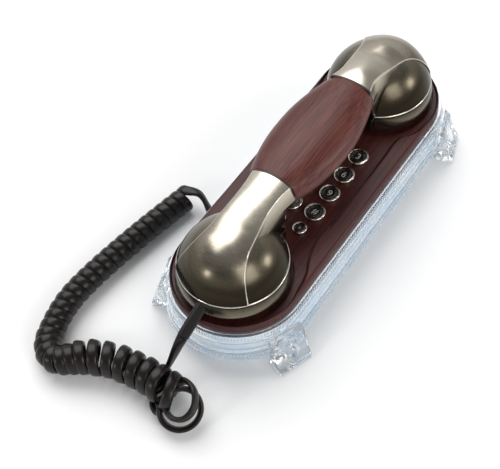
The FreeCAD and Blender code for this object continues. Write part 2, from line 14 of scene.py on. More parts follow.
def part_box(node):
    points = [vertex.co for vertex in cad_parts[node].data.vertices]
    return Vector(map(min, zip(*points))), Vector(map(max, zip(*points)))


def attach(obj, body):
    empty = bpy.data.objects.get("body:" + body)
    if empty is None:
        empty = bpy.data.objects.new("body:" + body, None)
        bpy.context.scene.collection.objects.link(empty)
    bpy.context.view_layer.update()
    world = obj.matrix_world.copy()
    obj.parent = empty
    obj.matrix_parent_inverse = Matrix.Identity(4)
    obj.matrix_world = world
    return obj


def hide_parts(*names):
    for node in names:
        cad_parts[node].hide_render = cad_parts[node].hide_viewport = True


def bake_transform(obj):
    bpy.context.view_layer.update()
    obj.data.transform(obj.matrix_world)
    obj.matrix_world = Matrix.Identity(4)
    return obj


MM = 0.001
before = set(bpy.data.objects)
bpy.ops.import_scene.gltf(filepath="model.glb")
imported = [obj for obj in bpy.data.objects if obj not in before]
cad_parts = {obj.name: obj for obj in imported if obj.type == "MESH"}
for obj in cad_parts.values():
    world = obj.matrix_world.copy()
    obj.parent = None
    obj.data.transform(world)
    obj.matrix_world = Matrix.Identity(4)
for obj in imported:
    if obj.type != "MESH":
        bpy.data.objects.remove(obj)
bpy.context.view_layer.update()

# Driving sizes, in millimetres; heights are above the surface the phone stands on

# Base outline: two end circles joined by straight sides
ARC_Y = 63.4            # distance of each end circle's centre from the middle
FACE_R = 32.3           # faceplate's outer radius
FACE_LOW_Z = 24.6
FACE_TOP_Z = 31.6
FACE_EDGE_R = 2.1       # rounding of the faceplate's upper edge
FIELD_Z = 30.4          # sunk field around the keys
FIELD_BANK = 1.7        # width of the slope down to the field
FIELD_END_R = 30.4      # field's edge where the sides meet an end's arc
FIELD_TIP_R = 30.9      # and round the rest of the arc
CUP_R = 28.8
CUP_Z = 28.4
HOOK_Y = 44.6           # bore for the hook plunger, in the ear cup
HOOK_BORE_R = 2.7

# Handset
BALL_Y = 66.0           # centres of the two round ends, and of the cups under them
BALL_Z = 34.3
BALL_R = 27.3
RIM_Z = 42.6            # where shell and band meet
RIM_IN_R = 24.6         # inner edge of the step at the rim
RIM_OUT_R = 25.7
BEAD_R = 0.62
BAND_IN_R = 24.9
NECK_MIDDLE_Z = 59.0    # height that a neck's end is closed towards
RIDGE_R = 0.4           # rounding of the ridge along each side of a neck
WEB_HALF = 11.6
WEB_FACE = 27.2         # distance from the ball's centre to the web's inner face
WEB_BACK = 6.0          # distance from the ball's centre to its hidden end
WEB_TOP_Z = 57.0
GRIP_EDGE = 0.35        # bevel of the wood at each seam
GRIP_END = 4.0          # how far a grip's end face is closed inwards

# Keys
KEY_PITCH_X = 13.1
KEY_PITCH_Y = 13.5
KEY_TOP_ROW_Y = 23.9
SMALL_KEY_Y = -28.4
SMALL_KEY_X = 12.0
KEY_R = 4.0
SMALL_KEY_R = 2.4
KEY_FOOT_Z = 22.7
KEY_CAP_Z = 24.0        # underside of the cap, over its stem
KEY_TOP_Z = 32.5
KEY_RIM_R = 0.5         # rounding of a key's rim
KEY_GAP = 0.2           # between a key and its ring
KEY_DISH = ((0.72, 0.42), (0.5, 0.52), (0.25, 0.57), (0.0, 0.58))   # share of radius, depth
BEZEL_WALL = 0.9
BEZEL_TOP_Z = 32.7

# Lugs: four flared feet, each square to a ray from its end circle's centre
LUG_ANGLE = 70.6        # degrees from the long axis
LUG_HALF = 9.2
LUG_EDGE = 0.55
LUG_HOLE_AT = 39.4      # hole's centre from the end circle's centre
LUG_HOLE_R = 2.15
LUG_SPOT_R = 3.5        # wider recess over the screw hole
LUG_SPOT_Z = 3.0

# Cord, a flat tape
CORD_WIDTH = 5.4
CORD_THICK = 2.5


# ---------------------------------------------------------------- mesh helpers

def make_object(name, points, faces, look):
    """Object from points in millimetres and faces, smooth shaded."""
    mesh = bpy.data.meshes.new(name)
    mesh.from_pydata([Vector(p) * MM for p in points], [], faces)
    mesh.validate()
    mesh.polygons.foreach_set("use_smooth", [True] * len(mesh.polygons))
    mesh.materials.append(look)
    obj = bpy.data.objects.new(name, mesh)
    bpy.context.scene.collection.objects.link(obj)
    return obj


def grid(rows, close_rows=False, close_columns=False):
    """Points and quads of a list of equal rows."""
    count = len(rows[0])
    points = [p for row in rows for p in row]
    faces = []
    for r in range(len(rows) if close_rows else len(rows) - 1):
        for c in range(count if close_columns else count - 1):
            a = r * count + c
            b = r * count + (c + 1) % count
            r_next = (r + 1) % len(rows)
            faces.append((a, b, r_next * count + (c + 1) % count, r_next * count + c))
    return points, faces


def lathe(profile, centre, segments):
    """Surface of revolution about a vertical axis from (radius, z) points."""
    rows = []
    for k in range(segments):
        angle = 2 * math.pi * k / segments
        rows.append([(centre[0] + r * math.cos(angle), centre[1] + r * math.sin(angle), z)
                     for r, z in profile])
    return grid(rows, close_rows=True)


def arc(centre, radius, start, end, steps):
    """(radius, z) points of an arc, angles in degrees from the outward direction."""
    turns = [math.radians(start + (end - start) * k / steps) for k in range(steps + 1)]
    return [(centre[0] + radius * math.cos(t), centre[1] + radius * math.sin(t)) for t in turns]


def mixed(a, b, t):
    """Value a share t of the way from a to b."""
    return a + (b - a) * t


def catmull_rom(a, b, c, d, t):
    """Value a share t of the way from b to c on the smooth curve through all four."""
    return 0.5 * (2 * b + (c - a) * t + (2 * a - 5 * b + 4 * c - d) * t * t
                  + (3 * b - a - 3 * c + d) * t ** 3)


def smooth_rows(table, count):
    """Rows between the table's own, by a Catmull-Rom curve through every column."""
    out = []
    spans = len(table) - 1
    for k in range(count + 1):
        place = spans * k / count
        i = min(int(place), spans - 1)
        t = place - i
        near = (table[max(i - 1, 0)], table[i], table[i + 1], table[min(i + 2, spans)])
        out.append([catmull_rom(*column, t) for column in zip(*near)])
    return out


def sharpen(obj, degrees):
    """Marks edges sharper than an angle, so smooth shading stops there."""
    mesh = bmesh.new()
    mesh.from_mesh(obj.data)
    bmesh.ops.remove_doubles(mesh, verts=mesh.verts, dist=1e-6)
    bmesh.ops.recalc_face_normals(mesh, faces=mesh.faces)
    for edge in mesh.edges:
        edge.smooth = edge.is_manifold and edge.calc_face_angle(0) < math.radians(degrees)
    mesh.to_mesh(obj.data)
    mesh.free()
    return obj


def cut_below(obj, z):
    """Takes away what is under a level."""
    mesh = bmesh.new()
    mesh.from_mesh(obj.data)
    bmesh.ops.bisect_plane(mesh, geom=mesh.verts[:] + mesh.edges[:] + mesh.faces[:],
                           plane_co=(0, 0, z * MM), plane_no=(0, 0, 1), clear_inner=True)
    mesh.to_mesh(obj.data)
    mesh.free()
    return obj


def joined(name, objects):
    """One object from several."""
    mesh = bmesh.new()
    looks = []
    for obj in objects:
        start = len(mesh.faces)
        mesh.from_mesh(obj.data)
        mesh.faces.ensure_lookup_table()
        for look in obj.data.materials:
            if look not in looks:
                looks.append(look)
        for face in mesh.faces[start:]:
            face.material_index = looks.index(obj.data.materials[face.material_index])
    data = bpy.data.meshes.new(name)
    mesh.to_mesh(data)
    mesh.free()
    for look in looks:
        data.materials.append(look)
    for obj in objects:
        bpy.data.objects.remove(obj)
    out = bpy.data.objects.new(name, data)
    bpy.context.scene.collection.objects.link(out)
    return out


def place(obj, body, slot, *nodes):
    """Puts a piece on its body and hides the CAD nodes it stands for; slot is not used."""
    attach(obj, body)
    if nodes:
        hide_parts(*nodes)
    return obj


def flat_shape(name, outline, holes, low, high, look):
    """Plate from closed outlines in plan, made by a 2D curve."""
    curve = bpy.data.curves.new(name, "CURVE")
    curve.dimensions = "2D"
    curve.fill_mode = "BOTH"
    for loop in [outline] + holes:
        spline = curve.splines.new("POLY")
        spline.points.add(len(loop) - 1)
        for point, (x, y) in zip(spline.points, loop):
            point.co = (x * MM, y * MM, 0, 1)
        spline.use_cyclic_u = True
    curve.extrude = (high - low) / 2 * MM
    holder = bpy.data.objects.new(name + "_curve", curve)
    mesh = bpy.data.meshes.new_from_object(holder)
    mesh.transform(Matrix.Translation((0, 0, (high + low) / 2 * MM)))
    mesh.materials.clear()
    mesh.materials.append(look)
    bpy.data.objects.remove(holder)
    obj = bpy.data.objects.new(name, mesh)
    bpy.context.scene.collection.objects.link(obj)
    mesh.polygons.foreach_set("use_smooth", [True] * len(mesh.polygons))
    return sharpen(obj, 35)


def circle(x, y, radius, count=40):
    """Closed outline of a round hole in plan."""
    return [(x + radius * math.cos(2 * math.pi * k / count),
             y + radius * math.sin(2 * math.pi * k / count)) for k in range(count)]


# ---------------------------------------------------------------- materials

def material(name, colour, roughness, metallic=0.0):
    """Principled material; returns it with its nodes, links and shader."""
    made = bpy.data.materials.new(name)
    made.use_nodes = True
    nodes = made.node_tree.nodes
    shader = nodes["Principled BSDF"]
    shader.inputs["Base Color"].default_value = (*colour, 1)
    shader.inputs["Roughness"].default_value = roughness
    shader.inputs["Metallic"].default_value = metallic
    return made, nodes, made.node_tree.links, shader


def noise(nodes, links, scale, stretch, detail):
    """Noise texture on stretched object coordinates; scale is in blobs per metre."""
    where = nodes.new("ShaderNodeTexCoord")
    mapping = nodes.new("ShaderNodeMapping")
    mapping.inputs["Scale"].default_value = stretch
    texture = nodes.new("ShaderNodeTexNoise")
    texture.inputs["Scale"].default_value = scale
    texture.inputs["Detail"].default_value = detail
    links.new(where.outputs["Object"], mapping.inputs["Vector"])
    links.new(mapping.outputs["Vector"], texture.inputs["Vector"])
    return texture


def ramp(nodes, links, source, stops):
    """Colour ramp of (position, colour) stops fed by a value."""
    node = nodes.new("ShaderNodeValToRGB")
    elements = node.color_ramp.elements
    while len(elements) < len(stops):
        elements.new(0.5)
    for element, (position, colour) in zip(elements, stops):
        element.position = position
        element.color = (*colour, 1)
    links.new(source, node.inputs["Fac"])
    return node


def bump(nodes, links, source, shader, strength, distance):
    """Roughens a shader's normal with a value."""
    node = nodes.new("ShaderNodeBump")
    node.inputs["Strength"].default_value = strength
    node.inputs["Distance"].default_value = distance
    links.new(source, node.inputs["Height"])
    links.new(node.outputs["Normal"], shader.inputs["Normal"])


def wood(name, dark, middle, light, roughness):
    """Satin mahogany look: fine long streaks with faint pores along Y."""
    made, nodes, links, shader = material(name, middle, roughness)
    streaks = noise(nodes, links, 1500, (1.0, 0.02, 1.0), 8.0)
    pores = noise(nodes, links, 3200, (1.0, 0.04, 1.0), 3.0)
    clouds = noise(nodes, links, 60, (1.0, 0.3, 1.0), 2.0)
    add = nodes.new("ShaderNodeMath")
    add.operation = "MULTIPLY_ADD"
    add.inputs[1].default_value = 0.35
    links.new(clouds.outputs["Fac"], add.inputs[0])
    links.new(streaks.outputs["Fac"], add.inputs[2])
    tone = ramp(nodes, links, add.outputs["Value"],
                ((0.5, dark), (0.68, middle), (0.88, light)))
    lines = ramp(nodes, links, pores.outputs["Fac"],
                 ((0.34, (0.6, 0.55, 0.55)), (0.46, (1, 1, 1))))
    mix = nodes.new("ShaderNodeMixRGB")
    mix.blend_type = "MULTIPLY"
    mix.inputs["Fac"].default_value = 0.6
    links.new(tone.outputs["Color"], mix.inputs["Color1"])
    links.new(lines.outputs["Color"], mix.inputs["Color2"])
    links.new(mix.outputs["Color"], shader.inputs["Base Color"])
    bump(nodes, links, pores.outputs["Fac"], shader, 0.06, 0.0002)
    shader.inputs["Coat Weight"].default_value = 0.05
    shader.inputs["Coat Roughness"].default_value = 0.3
    shader.inputs["Specular IOR Level"].default_value = 0.28
    return made


def antique_metal():
    """Brushed antique nickel with painted light by height: a pale painted reflection along the necks,
    painted shade darkest near the foot of each end.
    """
    made, nodes, links, shader = material("nickel_with_painted_light", (0.5, 0.45, 0.36), 0.24, 1.0)
    where = nodes.new("ShaderNodeTexCoord")
    split = nodes.new("ShaderNodeSeparateXYZ")
    links.new(where.outputs["Object"], split.inputs["Vector"])
    # height above the floor sets the painted reflection and shade on this metal
    level = nodes.new("ShaderNodeMapRange")
    level.inputs["From Min"].default_value = 0.034
    level.inputs["From Max"].default_value = 0.068
    links.new(split.outputs["Z"], level.inputs["Value"])
    brushed = noise(nodes, links, 1500, (0.06, 1.0, 1.0), 5.0)
    brushing_and_painted_light = nodes.new("ShaderNodeMath")
    brushing_and_painted_light.operation = "MULTIPLY_ADD"
    brushing_and_painted_light.inputs[1].default_value = 0.1
    links.new(brushed.outputs["Fac"], brushing_and_painted_light.inputs[0])
    links.new(level.outputs["Result"], brushing_and_painted_light.inputs[2])
    # painted light by height: a painted sheen on the band's foot, painted shade near the rim, a pale
    # painted reflection along the necks; the brushing varies it a little
    tone = ramp(nodes, links, brushing_and_painted_light.outputs["Value"],
                ((0.05, (0.26, 0.23, 0.17)), (0.3, (0.018, 0.014, 0.009)),
                 (0.52, (0.042, 0.034, 0.022)), (0.72, (0.15, 0.13, 0.095)),
                 (0.86, (0.42, 0.38, 0.31)), (1.0, (0.62, 0.57, 0.48))))
    links.new(tone.outputs["Color"], shader.inputs["Base Color"])
    rough = nodes.new("ShaderNodeMapRange")
    rough.inputs["To Min"].default_value = 0.2
    rough.inputs["To Max"].default_value = 0.3
    links.new(brushed.outputs["Fac"], rough.inputs["Value"])
    links.new(rough.outputs["Result"], shader.inputs["Roughness"])
    bump(nodes, links, brushed.outputs["Fac"], shader, 0.05, 0.0001)
    shader.inputs["Anisotropic"].default_value = 0.35
    return made


def worn_metal(name, colour, roughness, scale, dark, light):
    """Plain metal whose tone wanders a little."""
    made, nodes, links, shader = material(name, colour, roughness, 1.0)
    worn = noise(nodes, links, scale, (1, 1, 1), 3.0)
    tone = ramp(nodes, links, worn.outputs["Fac"], ((0.3, dark), (0.7, light)))
    links.new(tone.outputs["Color"], shader.inputs["Base Color"])
    return made


def clear_plastic(name, tint, roughness, painted_glow=0.0):
    """Cast acrylic, faintly tinted, with a faint painted glow from emission, patchy blue and white.
    """
    made, nodes, links, shader = material(name, tint, roughness)
    shader.inputs["Transmission Weight"].default_value = 1.0
    shader.inputs["IOR"].default_value = 1.49
    # emission: a faint painted glow, though the acrylic is no lamp; its colour is patchy blue and
    # white by the noise below
    shader.inputs["Emission Strength"].default_value = painted_glow
    clouds = noise(nodes, links, 70, (1, 1, 1), 1.0)
    tone = ramp(nodes, links, clouds.outputs["Fac"],
                ((0.4, (0.45, 0.7, 1.0)), (0.6, (1.0, 1.0, 1.0))))
    links.new(tone.outputs["Color"], shader.inputs["Emission Color"])
    return made


def plastic(name, colour, roughness, grain=0.06, scale=2500):
    """Moulded plastic with a fine grain."""
    made, nodes, links, shader = material(name, colour, roughness)
    fine = noise(nodes, links, scale, (1, 1, 1), 2.0)
    shade = tuple(c * 0.8 for c in colour)
    tone = ramp(nodes, links, fine.outputs["Fac"], ((0.35, shade), (0.65, colour)))
    links.new(tone.outputs["Color"], shader.inputs["Base Color"])
    bump(nodes, links, fine.outputs["Fac"], shader, grain, 0.0001)
    return made


def circuit_board():
    """Green board with lighter tracks."""
    made, nodes, links, shader = material("circuit_board", (0.02, 0.16, 0.06), 0.4)
    tracks = noise(nodes, links, 420, (1, 1, 1), 0.0)
    tone = ramp(nodes, links, tracks.outputs["Fac"],
                ((0.47, (0.015, 0.11, 0.04)), (0.5, (0.05, 0.26, 0.1)), (0.53, (0.015, 0.11, 0.04))))
    links.new(tone.outputs["Color"], shader.inputs["Base Color"])
    return made


FACE_WOOD = wood("face_wood", (0.03, 0.006, 0.005), (0.055, 0.011, 0.009), (0.08, 0.018, 0.014),
                 0.42)
GRIP_WOOD = wood("grip_wood", (0.055, 0.014, 0.011), (0.1, 0.026, 0.02), (0.145, 0.045, 0.035),
                 0.4)
NICKEL = antique_metal()
# bright plating of the key rings; the same material paints highlight lines on the band's bead and
# along the necks' ridges
BRIGHT_PLATE_AND_HIGHLIGHT = worn_metal("bright_plate_and_painted_highlight", (0.62, 0.58, 0.52), 0.18, 700, (0.5, 0.47, 0.4),
                    (0.78, 0.74, 0.66))
# its last value is the strength of the painted glow
CLEAR = clear_plastic("clear_acrylic", (0.97, 0.99, 1.0), 0.02, 0.035)
CLEAR_PLUG = clear_plastic("clear_plug_plastic", (0.93, 0.95, 0.96), 0.05)
KEY_BLACK = plastic("key_black", (0.018, 0.014, 0.013), 0.22, 0.03)
LEGEND = plastic("key_legend", (0.5, 0.48, 0.45), 0.45)
DARK = plastic("dark_plastic", (0.02, 0.018, 0.017), 0.42, 0.15)
PAN_WHITE = plastic("pan_plastic", (0.78, 0.88, 0.97), 0.3)
SILICONE = plastic("silicone_grey", (0.3, 0.31, 0.31), 0.55)
CORD_JACKET = plastic("cord_jacket", (0.008, 0.005, 0.004), 0.3, 0.04, 900)
cord_shader = CORD_JACKET.node_tree.nodes["Principled BSDF"]
cord_shader.inputs["Specular IOR Level"].default_value = 0.32
pan_painted_glow_shader = PAN_WHITE.node_tree.nodes["Principled BSDF"]
# faint blue emission: a painted glow on the pan and on the pieces that share its plastic
pan_painted_glow_shader.inputs["Emission Color"].default_value = (0.7, 0.85, 1.0, 1)
pan_painted_glow_shader.inputs["Emission Strength"].default_value = 0.12
STEEL = worn_metal("zinc_steel", (0.5, 0.5, 0.48), 0.35, 1800, (0.4, 0.4, 0.38),
                   (0.62, 0.62, 0.6))
BOARD = circuit_board()
GOLD = material("gold_contact", (0.75, 0.5, 0.16), 0.25, 1.0)[0]


# ---------------------------------------------------------------- camera

CAMERA_AT = (198.88, -298.531, 474.739)
CAMERA_AZIMUTH = 38.85      # degrees from straight off the mouth end, towards the right side
CAMERA_ELEVATION = 53.58
CAMERA_ROLL = -5.92
CAMERA_LENS = 83.29


def make_camera():
    """The photo's viewpoint: off the mouth end, to its right, and well above the phone."""
    azimuth = math.radians(CAMERA_AZIMUTH)
    elevation = math.radians(CAMERA_ELEVATION)
    roll = math.radians(CAMERA_ROLL)
    back = Vector((math.sin(azimuth) * math.cos(elevation),
                   -math.cos(azimuth) * math.cos(elevation), math.sin(elevation)))
    level = Vector((math.cos(azimuth), math.sin(azimuth), 0))
    rise = back.cross(level)
    right = level * math.cos(roll) + rise * math.sin(roll)
    up = back.cross(right)
    data = bpy.data.cameras.new("camera")
    data.sensor_width = 36
    data.lens = CAMERA_LENS
    data.clip_start = 0.01
    data.clip_end = 20
    camera = bpy.data.objects.new("camera", data)
    turn = Matrix((right, up, back)).transposed().to_4x4()
    camera.matrix_world = Matrix.Translation(Vector(CAMERA_AT) * MM) @ turn
    bpy.context.scene.collection.objects.link(camera)
    bpy.context.scene.camera = camera


make_camera()


# ---------------------------------------------------------------- cord

# Way of the cord: plain tail from the handset, axis of the coil, plain tail to the plug
TAIL = ((-2.4, -104.0, 26.8), (-2.9, -106.2, 24.8), (-4.9, -109.0, 16.8), (-6.3, -112.2, 10.6),
        (-7.4, -116.6, 5.4), (-7.8, -121.0, 3.0), (-6.6, -126.0, 2.6), (-3.2, -130.6, 3.0),
        (0.6, -133.2, 4.6), (3.0, -133.6, 6.6))
LOOSE_AXIS = ((10.8, -129.8, 7.6), (12.4, -128.8, 9.6), (13.2, -127.2, 11.6), (10.6, -126.0, 12.6),
              (4.6, -124.8, 12.0), (-1.9, -123.8, 10.6), (-8.9, -123.0, 9.8),
              (-16.2, -123.2, 9.6), (-22.8, -123.9, 9.6), (-29.9, -124.9, 9.6),
              (-36.8, -127.7, 9.6), (-43.6, -130.7, 9.2), (-49.1, -135.5, 8.4),
              (-54.2, -138.6, 7.5), (-58.9, -138.0, 7.1), (-62.5, -135.5, 7.0),
              (-65.9, -130.6, 7.0), (-71.2, -111.0, 7.0), (-70.4, -92.6, 7.0),
              (-67.0, -68.4, 7.0), (-62.6, -44.4, 7.0), (-58.8, -26.6, 7.0))
BASE_TAIL = ((-53.0, -24.2, 11.9), (-49.6, -24.6, 9.4), (-46.6, -26.0, 6.6), (-43.4, -27.4, 4.8),
             (-40.0, -27.6, 4.6))
# Tape's width direction at each point of that last tail
BASE_TAIL_WIDTHS = ((-0.2, 0.8, -0.4), (-0.3, 0.6, -0.65), (-0.3, 0.7, -0.6), (0.0, 1.0, -0.3),
                    (0.0, 1.0, 0.0))
TAIL_WIDTH = (-0.83, -0.45, 0.1)        # tape's width direction where it leaves the handset
TAIL_LAID_WIDTH = (0.34, -0.75, 0.5)    # and once it has come down to the surface
TURN_POINTS = 16        # control points per turn
FIRST_ANGLE = -0.3      # radians, place of the first turn's start round the axis
FIRST_SIDE = (-0.83, -0.56, 0.06)
FIRST_AXIS = (0.37, -0.46, 0.8)         # axis of the first turn, 36 degrees off the vertical
LEAN_LENGTH = 22.0      # axis length over which the turns come to stand across the axis
WIDE_END = 26.0         # axis length over which the first wide turns narrow
OPEN_END = 14.0         # axis length over which the pitch opens
LOOSE_END = 60.0        # axis length where the turns begin to narrow to the tight part
NARROW_LENGTH = 20.0
BEND_START = 58.0       # axis length where the pitch begins to close for the bend
BEND_LEAD = 12.0
BEND_END = 92.0         # axis length where the bend is over and the straight part begins
WIDE_R = 8.8            # radius of the turns' middle line: first turn, loose part, tight part
LOOSE_R = 7.5
TIGHT_R = 5.3
LOOSE_PITCH = 7.0       # advance per turn: loose part, bend, straight part
BEND_PITCH = 4.4
TIGHT_PITCH = 5.2
TAPE_LEAN = 0.16        # slope of the tape across the coil's surface


def nurbs_line(points, steps):
    """Points of a smooth NURBS line with these control points, in millimetres."""
    curve = bpy.data.curves.new("route", "CURVE")
    curve.dimensions = "3D"
    curve.resolution_u = steps
    spline = curve.splines.new("NURBS")
    spline.points.add(len(points) - 1)
    for point, place_at in zip(spline.points, points):
        point.co = (*place_at, 1)
    spline.order_u = 3
    spline.use_endpoint_u = True
    holder = bpy.data.objects.new("route", curve)
    mesh = bpy.data.meshes.new_from_object(holder)
    out = [v.co.copy() for v in mesh.vertices]
    bpy.data.objects.remove(holder)
    bpy.data.meshes.remove(mesh)
    return out


def coil_radius(at):
    """Radius of the turns' middle line by the distance along the coil's axis."""
    if at < LOOSE_END:
        return mixed(WIDE_R, LOOSE_R, min(at / WIDE_END, 1))
    return mixed(LOOSE_R, TIGHT_R, min((at - LOOSE_END) / NARROW_LENGTH, 1))


def coil_pitch(at):
    """Advance per turn by the distance along the coil's axis."""
    if at < OPEN_END:
        return mixed(TIGHT_PITCH, LOOSE_PITCH, at / OPEN_END)
    if at < BEND_END:
        return mixed(LOOSE_PITCH, BEND_PITCH, min(max(at - BEND_START, 0) / BEND_LEAD, 1))
    return TIGHT_PITCH


def coil_frames():
    """(place, side, rise, along) at each point of the coil's axis, and the lengths up to them."""
    axis = nurbs_line(LOOSE_AXIS, 40)
    first_along = Vector(FIRST_AXIS).normalized()
    lengths = [0.0]
    for a, b in zip(axis, axis[1:]):
        lengths.append(lengths[-1] + (b - a).length)
    frames = []
    side = Vector(FIRST_SIDE)
    for k, point in enumerate(axis):
        along = (axis[min(k + 1, len(axis) - 1)] - axis[max(k - 1, 0)]).normalized()
        lean = max(0.0, 1 - lengths[k] / LEAN_LENGTH)
        along = (along * (1 - lean) + first_along * lean).normalized()
        side = (side - along * side.dot(along)).normalized()
        frames.append((point, side, along.cross(side), along))
    return frames, lengths


def coil_points():
    """(middle, outward, along) of the helix round the coil's axis, its end at a turn's top."""
    frames, lengths = coil_frames()
    places = [0.0]
    while places[-1] < lengths[-1] - 0.5:
        places.append(places[-1] + coil_pitch(places[-1]) / TURN_POINTS)
    top = math.atan2(frames[-1][2].z, frames[-1][1].z)
    turned = 2 * math.pi * (len(places) - 1) / TURN_POINTS
    turned += (top - FIRST_ANGLE - turned + math.pi) % (2 * math.pi) - math.pi
    k = 0
    out = []
    for step, at in enumerate(places):
        while k < len(lengths) - 2 and lengths[k + 1] < at:
            k += 1
        share = (at - lengths[k]) / (lengths[k + 1] - lengths[k])
        middle = frames[k][0].lerp(frames[k + 1][0], share)
        angle = FIRST_ANGLE + turned * step / (len(places) - 1)
        outward = frames[k][1] * math.cos(angle) + frames[k][2] * math.sin(angle)
        out.append((middle + outward * coil_radius(at), outward, frames[k][3]))
    return out


def cord_points():
    """Control points of the cord's own line, with the tape's width direction at each."""
    points = []
    widths = []
    for k, place_at in enumerate(TAIL):
        points.append(Vector(place_at))
        turn = min(k / 4, 1)
        widths.append(Vector(TAIL_WIDTH).lerp(Vector(TAIL_LAID_WIDTH), turn))
    for middle, outward, along in coil_points():
        points.append(middle)
        widths.append(along + outward * TAPE_LEAN)
    for place_at, width in zip(BASE_TAIL, BASE_TAIL_WIDTHS):
        points.append(Vector(place_at))
        widths.append(Vector(width))
    return points, [w.normalized() for w in widths]


def tape_section(count=14):
    """Rounded flat section as (across the width, through the thickness) factors."""
    out = []
    for k in range(count):
        angle = 2 * math.pi * k / count
        c = math.cos(angle)
        s = math.sin(angle)
        out.append((math.copysign(abs(c) ** 0.7, c) * CORD_WIDTH / 2,
                    math.copysign(abs(s) ** 0.8, s) * CORD_THICK / 2))
    return out


def make_cord():
    """The whole cord as one tape, and the points of its middle line in metres."""
    points, widths = cord_points()
    middle = nurbs_line(points, 4)
    beside = nurbs_line([p + w for p, w in zip(points, widths)], 4)
    rows = []
    for k, point in enumerate(middle):
        along = (middle[min(k + 1, len(middle) - 1)] - middle[max(k - 1, 0)]).normalized()
        across = beside[k] - point
        across = (across - along * across.dot(along)).normalized()
        through = along.cross(across)
        rows.append([point + across * u + through * v for u, v in tape_section()])
    faces = grid(rows, close_columns=True)[1]
    flat = [p for row in rows for p in row]
    count = len(rows[0])
    faces.append(tuple(range(count)))
    faces.append(tuple(range(len(flat) - count, len(flat))))
    cord = make_object("curly_cord", flat, faces, CORD_JACKET)
    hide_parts("cord_tail_handset", "cord_coil_loose", "cord_coil_tight", "cord_tail_base")
    return cord, [p * MM for p in middle]


cord, cord_path = make_cord()


# ---------------------------------------------------------------- handset

# Sections of a neck and its strap, from the grip's seam to the rim beyond the ball:
# plane's tilt in degrees, plane's distance from the ball's centre, then crown height, ridge x,
# ridge height, side x, side height, low x and low height, heights from the ball's centre
NECK = ((90, 34.0, 33.6, 10.2, 30.7, 12.8, 24.3, 8.8, 16.3),
        (90, 28.0, 33.3, 9.4, 30.8, 11.8, 24.1, 8.6, 16.1),
        (90, 22.0, 32.9, 9.2, 30.5, 11.5, 23.4, 8.6, 15.2),
        (90, 16.0, 32.1, 9.4, 29.8, 11.6, 22.2, 8.8, 14.0),
        (90, 10.0, 30.9, 10.1, 28.4, 11.8, 20.7, 9.0, 12.0),
        (90, 4.0, 29.5, 11.0, 26.8, 12.2, 19.0, 9.0, 10.0),
        (85, 0.0, 28.8, 12.0, 25.3, 12.6, 18.0, 9.0, 10.0),
        (74, 0.0, 28.7, 13.5, 24.4, 13.9, 18.0, 10.0, 10.0),
        (62, 0.0, 28.7, 15.4, 23.2, 15.7, 18.0, 12.0, 10.0),
        (48, 0.0, 28.6, 17.7, 21.5, 17.9, 17.0, 14.0, 10.0),
        (36, 0.0, 28.3, 19.4, 20.1, 19.5, 16.0, 16.0, 10.0),
        (26, 0.0, 27.9, 20.3, 19.0, 20.4, 15.0, 17.0, 10.0),
        (14, 0.0, 27.4, 20.8, 18.3, 20.9, 14.0, 17.0, 10.0))
EAR_FIRST = (90, 28.0, 32.7, 10.8, 30.4, 13.0, 24.3, 8.8, 16.3)    # the ear neck is shorter


def neck_half(crown, ridge_x, ridge_h, side_x, side_h, low_x, low_h):
    """Right half of a section, from the crown to the low corner, as (x, height)."""
    half = [(ridge_x * k / 10, crown - (crown - ridge_h) * (k / 10) ** 2) for k in range(10)]
    slope = 2 * (crown - ridge_h) / ridge_x
    before = Vector((ridge_x, ridge_h)) - Vector((1, -slope)).normalized() * RIDGE_R
    after = Vector((ridge_x, ridge_h)) + (Vector((side_x, side_h))
                                          - Vector((ridge_x, ridge_h))).normalized() * RIDGE_R
    corner = Vector((ridge_x, ridge_h))
    for k in range(4):
        t = k / 3
        spot = before * (1 - t) ** 2 + corner * 2 * t * (1 - t) + after * t * t
        half.append((spot.x, spot.y))
    for k in range(1, 6):
        t = k / 5
        half.append((mixed(after.x, side_x, t) - 0.35 * math.sin(math.pi * t),
                     mixed(after.y, side_h, t)))
    for k in range(1, 6):
        t = k / 5
        half.append((mixed(side_x, low_x, t * t), mixed(side_h, low_h, t)))
    return half


def neck_rows(end_sign, table, count):
    """Closed sections from the seam over the ball, in the frame."""
    rows = []
    for tilt, distance, *section in smooth_rows(table, count):
        tilt = math.radians(tilt)
        half = neck_half(*section)
        across = [(-x, h) for x, h in reversed(half[1:])] + half
        row = []
        for x, h in across:
            y = end_sign * (BALL_Y - distance + h * math.cos(tilt))
            row.append((x, y, BALL_Z + h * math.sin(tilt)))
        rows.append(row)
    return rows


def neck_and_strap(name, end_sign):
    """Neck and its strap over the ball, with a painted highlight line along each ridge in the bright
    material.
    """
    table = NECK if end_sign < 0 else (EAR_FIRST,) + NECK[2:]
    rows = neck_rows(end_sign, table, 150)
    seam = [(x * 0.93, y, mixed(NECK_MIDDLE_Z, z, 0.93)) for x, y, z in rows[0]]
    points, faces = grid([seam] + rows, close_columns=True)
    obj = make_object(name, points, faces, NICKEL)
    obj.data.materials.append(BRIGHT_PLATE_AND_HIGHLIGHT)
    count = len(rows[0])
    # faces along each ridge take the bright material: a painted highlight line
    ridge = (count - 1) // 2 + 9
    for k, polygon in enumerate(obj.data.polygons):
        column = k % count
        if ridge < column < ridge + 3 or ridge < count - 2 - column < ridge + 3:
            polygon.material_index = 1
    return sharpen(cut_below(obj, RIM_Z + 0.1), 50)


